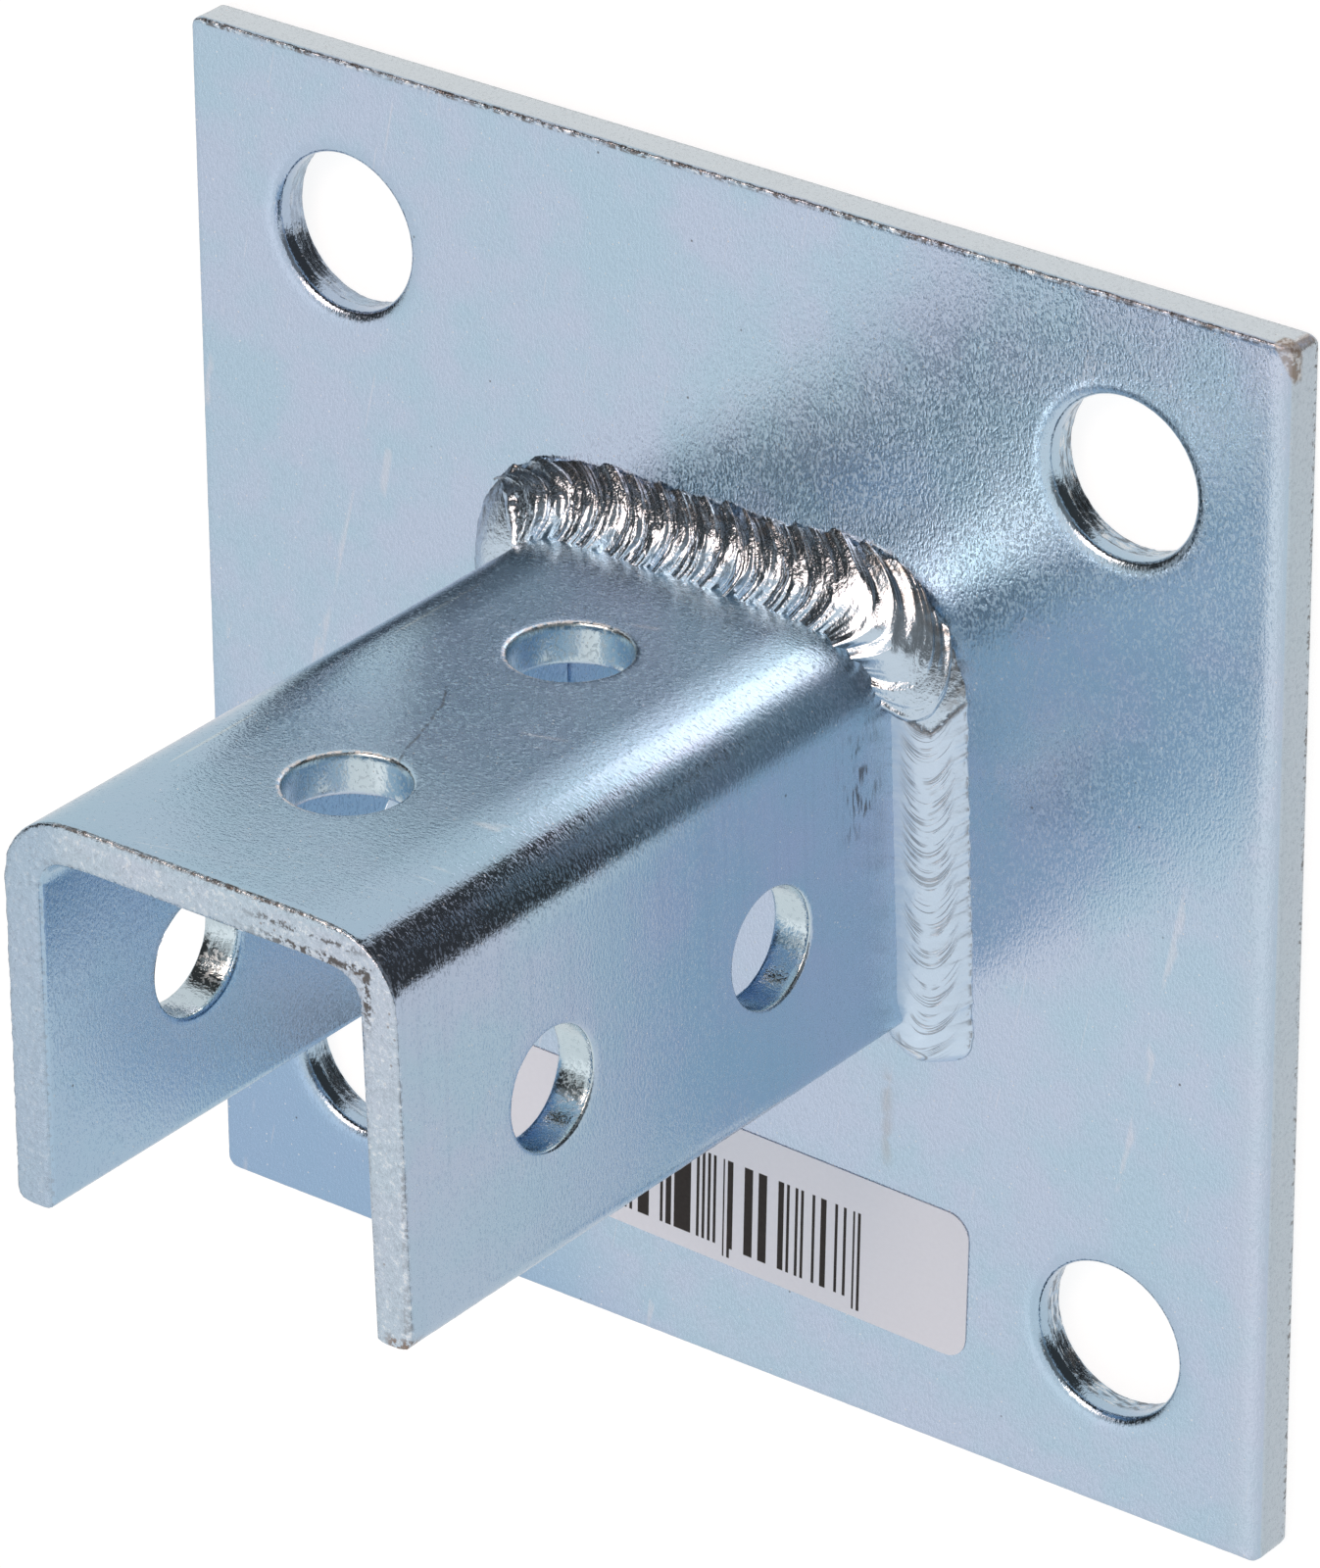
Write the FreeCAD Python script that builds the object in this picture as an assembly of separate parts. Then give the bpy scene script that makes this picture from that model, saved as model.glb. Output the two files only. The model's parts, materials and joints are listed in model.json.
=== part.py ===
import FreeCAD, Part
import math
import os

# Strut post base, in millimetres.
# The plate lies on the ground with its underside at z = 0 and the origin at its middle.
# The channel stands on the plate along +Z, with its web towards +Y and its open side towards -Y.
# The bolt axes through the web and the flanges cross on the Z axis.

# Base plate
plate_width = 152.4
plate_depth = 152.4
plate_thickness = 5.3
plate_corner_radius = 1.5
plate_edge_chamfer = 0.35
shear_roll_width = 2.6
shear_roll_drop = 0.55
anchor_hole_diameter = 19.3
anchor_spacing_x = 108.8
anchor_spacing_y = 108.8

# Channel bent from one strip of sheet
strut_width = 41.3
strut_side_clearance = 1.35
strut_web_clearance = 2.45
sheet_thickness = 5.3
bend_inner_radius = 4.4
flange_depth = 49.2
channel_length = 92.4
right_splay = 1.7
left_splay = 0.0
flange_edge_round = 0.9
channel_end_chamfer = 0.45
bolt_hole_diameter = 14.3
bolt_hole_pitch = 39.2
bolt_hole_end_distance = 25.6

# Punched holes: pulled-in rim where the punch enters, smooth land, then a torn wall that widens
punch_rim = 0.4
punch_land_depth = 2.3
punch_break_growth = 0.35
punch_overrun = 1.0

# Fillet welds
weld_plate_leg = 7.3
weld_web_leg = 6.2
weld_flange_leg = 4.9
weld_crown = 1.0
weld_face_flats = 3
weld_sink = 0.8
ripple_pitch = 3.0
ripple_step = 0.3
ripple_height = 0.05
ripple_lag = 1.1
bead_end_taper = 3.0
bead_end_size = 0.55
corner_swell = 0.28
corner_swell_reach = 7.0
left_bead_start_angle = 50.0
weld_end_margin = 0.5

# Paper label on the plate
label_width = 69.85
label_height = 19.05
label_thickness = 0.15
label_corner_radius = 3.0
label_x = 0.2
label_front_gap = 13.0
label_turn = -1.5

# Sizes that follow from the driving ones
channel_inner_width = strut_width + 2 * strut_side_clearance
channel_outer_width = channel_inner_width + 2 * sheet_thickness
bend_outer_radius = bend_inner_radius + sheet_thickness
web_half = channel_outer_width / 2 - bend_outer_radius
web_outer_y = strut_width / 2 + strut_web_clearance + sheet_thickness
bend_centre_y = web_outer_y - bend_outer_radius
channel_top = plate_thickness + channel_length
label_y = label_front_gap + label_height / 2 - plate_depth / 2
bolt_heights = [channel_top - bolt_hole_end_distance - i * bolt_hole_pitch for i in range(2)]

up = FreeCAD.Vector(0, 0, 1)


def wire_of(edges):
    return Part.Wire(Part.__sortEdges__(edges))


def arc(start, middle, end):
    return Part.Arc(start, middle, end).toShape()


# Half of the channel's outline, measured from the middle of the web along its outer face
class Half:
    def __init__(self, side, splay):
        self.side = side
        self.splay = math.radians(splay)
        self.bend = math.pi / 2 - self.splay
        self.arc_end = web_half + bend_outer_radius * self.bend
        self.end = self.arc_end + self.flange_run()

    # Straight length of the flange's outer face, from the bend to the sheared edge
    def flange_run(self):
        reach = flange_depth - bend_outer_radius + bend_outer_radius * math.sin(self.splay)
        return reach / math.cos(self.splay)

    # Outward direction at a distance along the outline
    def normal(self, distance):
        turn = min(max((distance - web_half) / bend_outer_radius, 0), self.bend)
        return FreeCAD.Vector(self.side * math.sin(turn), math.cos(turn), 0)

    # Point of the outline that lies an offset outside the outer face
    def point(self, distance, offset=0.0, height=0.0):
        out = self.normal(distance)
        if distance <= web_half:
            return FreeCAD.Vector(self.side * distance, web_outer_y + offset, height)
        centre = FreeCAD.Vector(self.side * web_half, bend_centre_y, height)
        along = FreeCAD.Vector(self.side * out.y, -self.side * out.x, 0)
        past = max(distance - self.arc_end, 0)
        return centre + out * (bend_outer_radius + offset) + along * past

    # Place on the outer face of the flange at a given y
    def flange_x(self, y):
        start = self.point(self.arc_end)
        return start.x + self.side * math.tan(self.splay) * (start.y - y)


right_half = Half(1, right_splay)
left_half = Half(-1, left_splay)


# Cutter of one punched hole. The punch enters at the origin and travels along +Z.
def punch(diameter, depth):
    land = diameter / 2
    exit_depth = depth + punch_overrun
    torn_slope = punch_break_growth / (depth - punch_land_depth)
    profile = [
        (0, -punch_overrun),
        (land + punch_rim + punch_overrun, -punch_overrun),
        (land, punch_rim),
        (land, punch_land_depth),
        (land + torn_slope * (exit_depth - punch_land_depth), exit_depth),
        (0, exit_depth),
    ]
    corners = [FreeCAD.Vector(radius, 0, height) for radius, height in profile]
    outline = Part.makePolygon(corners + corners[:1])
    return Part.Face(outline).revolve(FreeCAD.Vector(0, 0, 0), up, 360)


def punched(solid, diameter, depth, entry, direction):
    cutter = punch(diameter, depth)
    cutter.Placement = FreeCAD.Placement(entry, FreeCAD.Rotation(up, direction))
    return solid.cut(cutter)


# Plate section across X: the shear has rolled the upper right edge over
def plate_section():
    left, right = -plate_width / 2, plate_width / 2
    front = -plate_depth / 2
    roll_radius = (shear_roll_width ** 2 + shear_roll_drop ** 2) / (2 * shear_roll_drop)
    half_turn = math.asin(shear_roll_width / roll_radius) / 2
    roll_start = right - shear_roll_width
    roll_middle = FreeCAD.Vector(
        roll_start + roll_radius * math.sin(half_turn),
        front,
        plate_thickness - roll_radius * (1 - math.cos(half_turn)),
    )
    p = [
        FreeCAD.Vector(left, front, 0),
        FreeCAD.Vector(right, front, 0),
        FreeCAD.Vector(right, front, plate_thickness - shear_roll_drop),
        FreeCAD.Vector(roll_start, front, plate_thickness),
        FreeCAD.Vector(left, front, plate_thickness),
    ]
    edges = [Part.LineSegment(p[a], p[b]).toShape() for a, b in [(0, 1), (1, 2), (3, 4), (4, 0)]]
    return Part.Face(wire_of(edges + [arc(p[2], roll_middle, p[3])]))


def is_upright(edge):
    low, high = edge.BoundBox.ZMin, edge.BoundBox.ZMax
    flat = edge.BoundBox.XLength + edge.BoundBox.YLength
    return high - low > plate_thickness / 2 and flat < plate_thickness / 10


def base_plate():
    plate = plate_section().extrude(FreeCAD.Vector(0, plate_depth, 0))
    plate = plate.makeFillet(plate_corner_radius, [e for e in plate.Edges if is_upright(e)])
    top_edges = [e for e in plate.Edges if e.BoundBox.ZMin > plate_thickness - shear_roll_drop / 10
                 and e.BoundBox.XMax < plate_width / 2 - shear_roll_width]
    plate = plate.makeChamfer(plate_edge_chamfer, top_edges)
    for x in (-anchor_spacing_x / 2, anchor_spacing_x / 2):
        for y in (-anchor_spacing_y / 2, anchor_spacing_y / 2):
            entry = FreeCAD.Vector(x, y, plate_thickness)
            plate = punched(plate, anchor_hole_diameter, plate_thickness, entry, -up)
    return plate


# Outline edges of one half of the channel, from the middle of the web round to the flange's edge and back
def half_edges(half):
    edges = []
    tip = half.end
    faces = []
    for offset in (0.0, -sheet_thickness):
        middle = half.point(0, offset, plate_thickness)
        web_end = half.point(web_half, offset, plate_thickness)
        bend_middle = half.point((web_half + half.arc_end) / 2, offset, plate_thickness)
        bend_end = half.point(half.arc_end, offset, plate_thickness)
        flange_end = half.point(tip - flange_edge_round, offset, plate_thickness)
        edges.append(Part.LineSegment(middle, web_end).toShape())
        edges.append(arc(web_end, bend_middle, bend_end))
        edges.append(Part.LineSegment(bend_end, flange_end).toShape())
        faces.append(flange_end)
    inset = flange_edge_round * (1 - math.sqrt(0.5))
    outer_tip = half.point(tip, -flange_edge_round, plate_thickness)
    inner_tip = half.point(tip, flange_edge_round - sheet_thickness, plate_thickness)
    edges.append(arc(faces[0], half.point(tip - inset, -inset, plate_thickness), outer_tip))
    edges.append(Part.LineSegment(outer_tip, inner_tip).toShape())
    edges.append(arc(inner_tip, half.point(tip - inset, inset - sheet_thickness, plate_thickness), faces[1]))
    return edges


def post_channel():
    outline = wire_of(half_edges(right_half) + half_edges(left_half))
    channel = Part.Face(outline).extrude(up * channel_length)
    end_edges = [e for e in channel.Edges if e.BoundBox.ZMin > channel_top - sheet_thickness / 10]
    channel = channel.makeChamfer(channel_end_chamfer, end_edges)
    for height in bolt_heights:
        web_entry = FreeCAD.Vector(0, web_outer_y, height)
        channel = punched(channel, bolt_hole_diameter, sheet_thickness, web_entry, FreeCAD.Vector(0, -1, 0))
        for half in (right_half, left_half):
            entry = FreeCAD.Vector(half.flange_x(0), 0, height)
            inward = FreeCAD.Vector(-half.side, 0, 0)
            channel = punched(channel, bolt_hole_diameter, sheet_thickness, entry, inward)
    return channel


# Half of the outline that a signed distance lies on: right of the web's middle is positive
def half_at(distance):
    return right_half if distance >= 0 else left_half


def foot(distance, offset, height):
    return half_at(distance).point(abs(distance), offset, plate_thickness + height)


# Weld size beside the channel: the flange beads are lower than the web bead
def channel_leg(distance):
    half = half_at(distance)
    share = min(max((abs(distance) - web_half) / (half.arc_end - web_half), 0), 1)
    return weld_web_leg + (weld_flange_leg - weld_web_leg) * share


# Weld metal piles up where the torch turns the right-hand corner
def swell(distance):
    corner = (web_half + right_half.arc_end) / 2
    return 1 + corner_swell * math.exp(-((distance - corner) / corner_swell_reach) ** 2)


# One section of a bead: flat on the plate, sunk into the channel, with a crowned face.
# The toes trail behind the crown, which is what bends each ripple into a crescent.
def bead_section(distance, size, lag):
    size *= swell(distance)
    plate_leg = weld_plate_leg * size
    side_leg = channel_leg(distance) * size
    crown = weld_crown * size / math.hypot(plate_leg, side_leg)
    corners = [foot(distance - lag, -weld_sink, 0)]
    for i in range(weld_face_flats + 1):
        share = i / weld_face_flats
        bulge = math.sin(math.pi * share)
        out = plate_leg * (1 - share) - weld_sink * share + crown * side_leg * bulge
        height = side_leg * share + crown * plate_leg * bulge
        corners.append(foot(distance - lag * (1 - bulge), out, height))
    return Part.makePolygon(corners + corners[:1])


# Size of a bead at a place: it thins out towards both of its ends
def end_size(distance, first, last):
    nearest = min(abs(distance - first), abs(last - distance))
    share = min(nearest / bead_end_taper, 1)
    return bead_end_size + (1 - bead_end_size) * math.sqrt(1 - (1 - share) ** 2)


# A bead along the foot of the channel: each ripple rises slowly and drops off in a short step
def bead(first, last, channel):
    run = last - first
    travel = math.copysign(1, run)
    count = max(int(round(abs(run) / ripple_pitch)), 2)
    pitch = run / count
    sections = [bead_section(first, bead_end_size, 0)]
    for i in range(1, count):
        low = first + pitch * i
        high = low + pitch * (1 - ripple_step)
        lag = ripple_lag * travel
        sections.append(bead_section(low, end_size(low, first, last) * (1 - ripple_height), lag))
        sections.append(bead_section(high, end_size(high, first, last) * (1 + ripple_height), lag))
    sections.append(bead_section(last, bead_end_size, 0))
    return Part.makeLoft(sections, True, True).cut(channel)


def weld_beads(channel):
    left_joint = -(web_half + bend_outer_radius * math.radians(left_bead_start_angle))
    right_joint = right_half.arc_end
    return {
        "weld_bead_web": bead(left_joint, right_joint, channel),
        "weld_bead_right": bead(right_joint, right_half.end - weld_end_margin, channel),
        "weld_bead_left": bead(left_joint, -(left_half.end - weld_end_margin), channel),
    }


def paper_label():
    sheet = Part.makeBox(label_width, label_height, label_thickness)
    sheet.translate(FreeCAD.Vector(-label_width / 2, -label_height / 2, 0))
    corners = [e for e in sheet.Edges if e.BoundBox.XLength + e.BoundBox.YLength < label_thickness]
    sheet = sheet.makeFillet(label_corner_radius, corners)
    sheet.rotate(FreeCAD.Vector(0, 0, 0), up, label_turn)
    sheet.translate(FreeCAD.Vector(label_x, label_y, plate_thickness))
    return sheet


def main():
    channel = post_channel()
    pieces = {"base_plate": base_plate(), "post_channel": channel, "paper_label": paper_label()}
    pieces.update(weld_beads(channel))
    os.makedirs("parts", exist_ok=True)
    for name, shape in pieces.items():
        solid = shape.Solids[0] if len(shape.Solids) == 1 else shape
        print(name, solid.ShapeType, solid.isValid(), round(solid.Volume, 1), len(solid.Faces))
        solid.exportStep("parts/" + name + ".step")


main()
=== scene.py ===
import json
import math

import bmesh
import bpy
from mathutils import Matrix, Vector, geometry, noise

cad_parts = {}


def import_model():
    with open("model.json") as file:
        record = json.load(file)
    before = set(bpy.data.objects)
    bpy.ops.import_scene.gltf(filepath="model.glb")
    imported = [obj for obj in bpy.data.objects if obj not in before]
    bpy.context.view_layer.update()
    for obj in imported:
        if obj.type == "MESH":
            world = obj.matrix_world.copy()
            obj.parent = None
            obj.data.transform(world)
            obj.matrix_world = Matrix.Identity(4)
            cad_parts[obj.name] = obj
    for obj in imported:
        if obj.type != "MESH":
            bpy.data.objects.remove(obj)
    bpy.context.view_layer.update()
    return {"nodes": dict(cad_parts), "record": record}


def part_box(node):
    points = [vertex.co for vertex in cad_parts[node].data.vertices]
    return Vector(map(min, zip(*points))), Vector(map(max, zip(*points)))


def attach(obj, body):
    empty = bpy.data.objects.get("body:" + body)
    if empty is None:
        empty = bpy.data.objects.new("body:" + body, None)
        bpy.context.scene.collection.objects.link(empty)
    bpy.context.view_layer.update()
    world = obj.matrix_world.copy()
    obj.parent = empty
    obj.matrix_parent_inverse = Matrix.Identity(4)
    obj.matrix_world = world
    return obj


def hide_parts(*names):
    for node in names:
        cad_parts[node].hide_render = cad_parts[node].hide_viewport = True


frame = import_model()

# Strut post base: a plate with a bent channel welded upright on it, all zinc plated.
# Lengths are in millimetres until a mesh is finished, and its points are then in metres.
MM = 0.001

# Sizes and places that the frame gives
plate_low, plate_high = [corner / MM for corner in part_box("base_plate")]
channel_low, channel_high = [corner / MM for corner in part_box("post_channel")]
mounts = {mount["name"]: mount for mount in frame["record"]["mounts"]}
anchor = mounts["anchor_bolts"]["dims"]
web_bolts = mounts["web_bolts"]["dims"]
PLATE_TOP = plate_high.z
CHANNEL_TOP = channel_high.z
WEB_Y = channel_high.y
FLANGE_TIP_Y = channel_low.y
LEFT_X = channel_low.x
BOLT_MIDDLE = mounts["web_bolts"]["pos_m"][2] / MM
BOLT_REACH = web_bolts["spacing_y_mm"] / 2
ANCHOR_X = anchor["spacing_x_mm"] / 2
ANCHOR_Y = anchor["spacing_y_mm"] / 2
ANCHOR_HOLE = 2 * anchor["hole_r_mm"]
BOLT_HOLE = 2 * web_bolts["hole_r_mm"]

# Sizes of the sheet that the frame doesn't name
SHEET = 5.3
BEND_RADIUS = 8.8
LEAD_RADIUS = 48.0
LEAD = math.radians(6.5)
RIGHT_SPLAY = math.radians(1.7)
LEFT_SPLAY = 0.0
PLATE_CORNER = 1.5
SHEET_CORNER = 0.4
EDGE_STEP = 0.4
HOLE_STEP = 0.35


# Node trees written as expressions

class Wire:
    """One output of a node tree. Arithmetic on it adds Math nodes."""

    def __init__(self, tree, socket):
        self.tree = tree
        self.socket = socket

    def math(self, operation, *values):
        return self.tree.node("ShaderNodeMath", {"operation": operation}, dict(enumerate(values)))

    def __add__(self, other):
        return self.math("ADD", self, other)

    __radd__ = __add__

    def __sub__(self, other):
        return self.math("SUBTRACT", self, other)

    def __rsub__(self, other):
        return self.math("SUBTRACT", other, self)

    def __mul__(self, other):
        return self.math("MULTIPLY", self, other)

    __rmul__ = __mul__

    def __truediv__(self, other):
        return self.math("DIVIDE", self, other)

    def __pow__(self, other):
        return self.math("POWER", self, other)

    def __abs__(self):
        return self.math("ABSOLUTE", self)

    def smallest(self, other):
        return self.math("MINIMUM", self, other)

    def largest(self, other):
        return self.math("MAXIMUM", self, other)

    def sine(self):
        return self.math("SINE", self)

    def fraction(self):
        return self.math("FRACT", self)

    def over(self, low, high):
        """0 at low and before, 1 at high and after, straight between. low may be above high."""
        return self.tree.node("ShaderNodeMapRange", None, {0: self, 1: low, 2: high})

    def rise(self, low, high):
        """As over, with soft ends."""
        settings = {"interpolation_type": "SMOOTHSTEP"}
        return self.tree.node("ShaderNodeMapRange", settings, {0: self, 1: low, 2: high})

    def bell(self, centre, width):
        """1 at the centre, falling softly to 0 a width away on either side."""
        return abs(self - centre).rise(width, 0.0)

    def band(self, centre, half, soft):
        """1 within half of the centre, 0 beyond, with soft borders."""
        return abs(self - centre).rise(half + soft, half - soft)


class Tree:
    """A shader or geometry tree that is filled by expressions."""

    def __init__(self, node_tree):
        self.node_tree = node_tree
        self.nodes = node_tree.nodes
        self.links = node_tree.links

    def node(self, kind, settings=None, inputs=None, output=0):
        made = self.nodes.new(kind)
        for name, value in (settings or {}).items():
            setattr(made, name, value)
        for key, value in (inputs or {}).items():
            if isinstance(value, Wire):
                self.links.new(value.socket, made.inputs[key])
            else:
                made.inputs[key].default_value = value
        return Wire(self, made.outputs[output]) if len(made.outputs) else made

    def other(self, wire, output):
        """Another output of the node that a wire comes from."""
        return Wire(self, wire.socket.node.outputs[output])

    def parts(self, vector):
        x = self.node("ShaderNodeSeparateXYZ", None, {0: vector})
        return x, self.other(x, 1), self.other(x, 2)

    def join(self, x, y, z):
        return self.node("ShaderNodeCombineXYZ", None, {0: x, 1: y, 2: z})

    def vector(self, operation, *values):
        return self.node("ShaderNodeVectorMath", {"operation": operation}, dict(enumerate(values)))

    def scaled(self, vector, factor):
        return self.node("ShaderNodeVectorMath", {"operation": "SCALE"}, {0: vector, "Scale": factor})

    def noise(self, place, size, detail=2.0, roughness=0.5):
        """Soft noise between 0 and 1, mostly near 0.5, with lumps of about a size."""
        values = {"Vector": place, "Scale": 1 / size, "Detail": detail, "Roughness": roughness}
        return self.node("ShaderNodeTexNoise", None, values)

    def cells(self, place, size):
        """Distance to the middle of the nearest cell, as a share of the cells' size."""
        return self.node("ShaderNodeTexVoronoi", None, {"Vector": place, "Scale": 1 / size}, "Distance")

    def mix(self, factor, first, second, blend="MIX"):
        settings = {"data_type": "RGBA", "blend_type": blend}
        return self.node("ShaderNodeMix", settings, {0: factor, 6: first, 7: second}, 2)


def colour(red, green, blue):
    return (red, green, blue, 1.0)


def far(across, up):
    """Length of the way to a point."""
    return (across * across + up * up) ** 0.5


class Finish(Tree):
    """A material whose tree starts empty, with places in millimetres."""

    def __init__(self, name):
        self.material = bpy.data.materials.new(name)
        self.material.use_nodes = True
        super().__init__(self.material.node_tree)
        self.nodes.clear()
        metres = self.node("ShaderNodeTexCoord", None, None, "Object")
        self.place = self.scaled(metres, 1 / MM)
        self.x, self.y, self.z = self.parts(self.place)

    def bump(self, height, distance):
        """Height is in units of the distance, which is in millimetres."""
        return self.node("ShaderNodeBump", None, {"Height": height, "Distance": distance * MM})

    def surface(self, inputs):
        shader = self.node("ShaderNodeBsdfPrincipled", None, inputs)
        self.node("ShaderNodeOutputMaterial", None, {"Surface": shader})
        return self.material


# Stage

IMAGE_HEIGHT = 1600
FOCAL_PIXELS = 9601.955
SENSOR = 36.0
CAMERA_PLACE = Vector((0.57640, 0.49902, 0.76322))
CAMERA_RIGHT = Vector((0.7936933, -0.0071185, -0.6082764))
CAMERA_UP = Vector((-0.2772403, 0.8858146, -0.3721161))
CAMERA_BACK = Vector((0.5414690, 0.4639848, 0.7010916))


def camera():
    data = bpy.data.cameras.new("camera")
    data.sensor_width = SENSOR
    data.lens = FOCAL_PIXELS / IMAGE_HEIGHT * SENSOR
    data.clip_start = 0.01
    made = bpy.data.objects.new("camera", data)
    bpy.context.scene.collection.objects.link(made)
    turn = Matrix((CAMERA_RIGHT, CAMERA_UP, CAMERA_BACK)).transposed()
    made.matrix_world = Matrix.Translation(CAMERA_PLACE) @ turn.to_4x4()
    bpy.context.scene.camera = made


# Brightness of the studio, also below the horizon, where polished faces see it instead of the floor.
# Patches: (azimuth from +X, half width, softness), (elevation, half height, softness), change
SKY_LEVEL = 0.85
SKY_LOW = 0.04
SKY_PATCHES = [
    ((93, 96, 12), (26, 28, 5), -0.61),
    ((102, 28, 7), (50, 16, 4), 3.1),
    ((18, 22, 12), (38, 40, 8), -0.06),
    ((120, 62, 12), (14, 15, 5), -0.3),
    ((168, 18, 8), (30, 32, 6), -0.2),
    ((0, 200, 10), (-48, 48, 2), -0.05),
    ((40, 43, 6), (-48, 45, 4), -0.75),
    ((-140, 35, 12), (62, 14, 3), 0.2),
]
# The brightest patch is tinted, from one tone to another.
KEY_TINT = colour(1.36, 1.0, 0.83)
KEY_TONES = (0.9, 1.8)


def degrees(wire):
    return wire * (180 / math.pi)


def compass(x, y, centre):
    """Degrees between a flat direction and a compass point, either way round."""
    apart = y.math("ARCTAN2", y, x) - math.radians(centre)
    apart = apart.math("COSINE", apart)
    return degrees(apart.math("ARCCOSINE", apart))


def world():
    made = bpy.data.worlds.new("studio")
    made.use_nodes = True
    bpy.context.scene.world = made
    tree = Tree(made.node_tree)
    tree.nodes.clear()
    x, y, z = tree.parts(tree.node("ShaderNodeTexCoord", None, None, "Generated"))
    elevation = degrees(z.math("ARCSINE", z))
    tone = SKY_LEVEL
    for (azimuth, *width), (middle, *height), change in SKY_PATCHES:
        tone = tone + change * compass(x, y, azimuth).band(0.0, *width) * elevation.band(middle, *height)
    tone = tone.largest(SKY_LOW)
    grey = tree.join(tone, tone, tone)
    tinted = tree.mix(1.0, grey, KEY_TINT, "MULTIPLY")
    light = tree.mix(tone.rise(*KEY_TONES), grey, tinted)
    background = tree.node("ShaderNodeBackground", None, {"Color": light})
    tree.node("ShaderNodeOutputWorld", None, {"Surface": background})


# The floor, in metres. The camera sees it glow, and polished faces look through it.
FLOOR_HALF = 4.0
FLOOR_DROP = 0.0002
FLOOR_PAPER = colour(0.9, 0.9, 0.9)
FLOOR_SHADE = colour(0.24, 0.245, 0.25)
FLOOR_GLOW = 0.85


def link(name, mesh):
    made = bpy.data.objects.new(name, mesh)
    bpy.context.scene.collection.objects.link(made)
    return made


def floor():
    mesh = bpy.data.meshes.new("floor")
    corners = [(-1, -1), (1, -1), (1, 1), (-1, 1)]
    points = [(x * FLOOR_HALF, y * FLOOR_HALF, -FLOOR_DROP) for x, y in corners]
    mesh.from_pydata(points, [], [(0, 1, 2, 3)])
    paint = Finish("floor_paper")
    camera_ray = paint.node("ShaderNodeLightPath", None, None, "Is Camera Ray")
    glossy_ray = paint.other(camera_ray, "Is Glossy Ray")
    through_ray = paint.other(camera_ray, "Is Transmission Ray")
    paper = paint.node("ShaderNodeBsdfDiffuse", None, {"Color": FLOOR_PAPER})
    shade = paint.node("ShaderNodeBsdfDiffuse", None, {"Color": FLOOR_SHADE})
    white = paint.node("ShaderNodeEmission", None, {"Color": colour(1, 1, 1), "Strength": FLOOR_GLOW})
    seen = paint.node("ShaderNodeAddShader", None, {0: shade, 1: white})
    open_floor = paint.node("ShaderNodeBsdfTransparent")
    lit = paint.node("ShaderNodeMixShader", None, {0: camera_ray, 1: paper, 2: seen})
    polished = glossy_ray.largest(through_ray)
    lit = paint.node("ShaderNodeMixShader", None, {0: polished, 1: lit, 2: open_floor})
    paint.node("ShaderNodeOutputMaterial", None, {"Surface": lit})
    mesh.materials.append(paint.material)
    link("floor", mesh)


# Sheet metal

CORNER_STEPS = 6
# Sizes of the raggedness of an edge, share of the finer one, and share that shows from the side
EDGE_RAGGED = (1.1, 0.45)
FINE_SHARE = 0.6
SIDE_SHARE = 0.5
# Sizes of the raggedness of a hole's wall, share of the depth that it follows, and the finer one's seed
WALL_RAGGED = (1.3, 0.5)
WALL_DEPTH = 0.8
WALL_SEED = 40
# Points that are closer than this are one, in a mesh and in a fill.
MERGE = 0.0005
FILL_MERGE = 1e-6


def spaced(stops, step):
    """Values along a row of stops, about a step apart, with every stop among them."""
    values = [stops[0]]
    for start, end in zip(stops, stops[1:]):
        count = max(round(abs(end - start) / step), 1)
        values += [start + (end - start) * (i + 1) / count for i in range(count)]
    return values


def ragged(place, size, seed):
    """Noise between -1 and 1 that is the same on every run."""
    return noise.noise(Vector(place) / size + Vector((seed, seed * 1.7, 0.5)))


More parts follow.
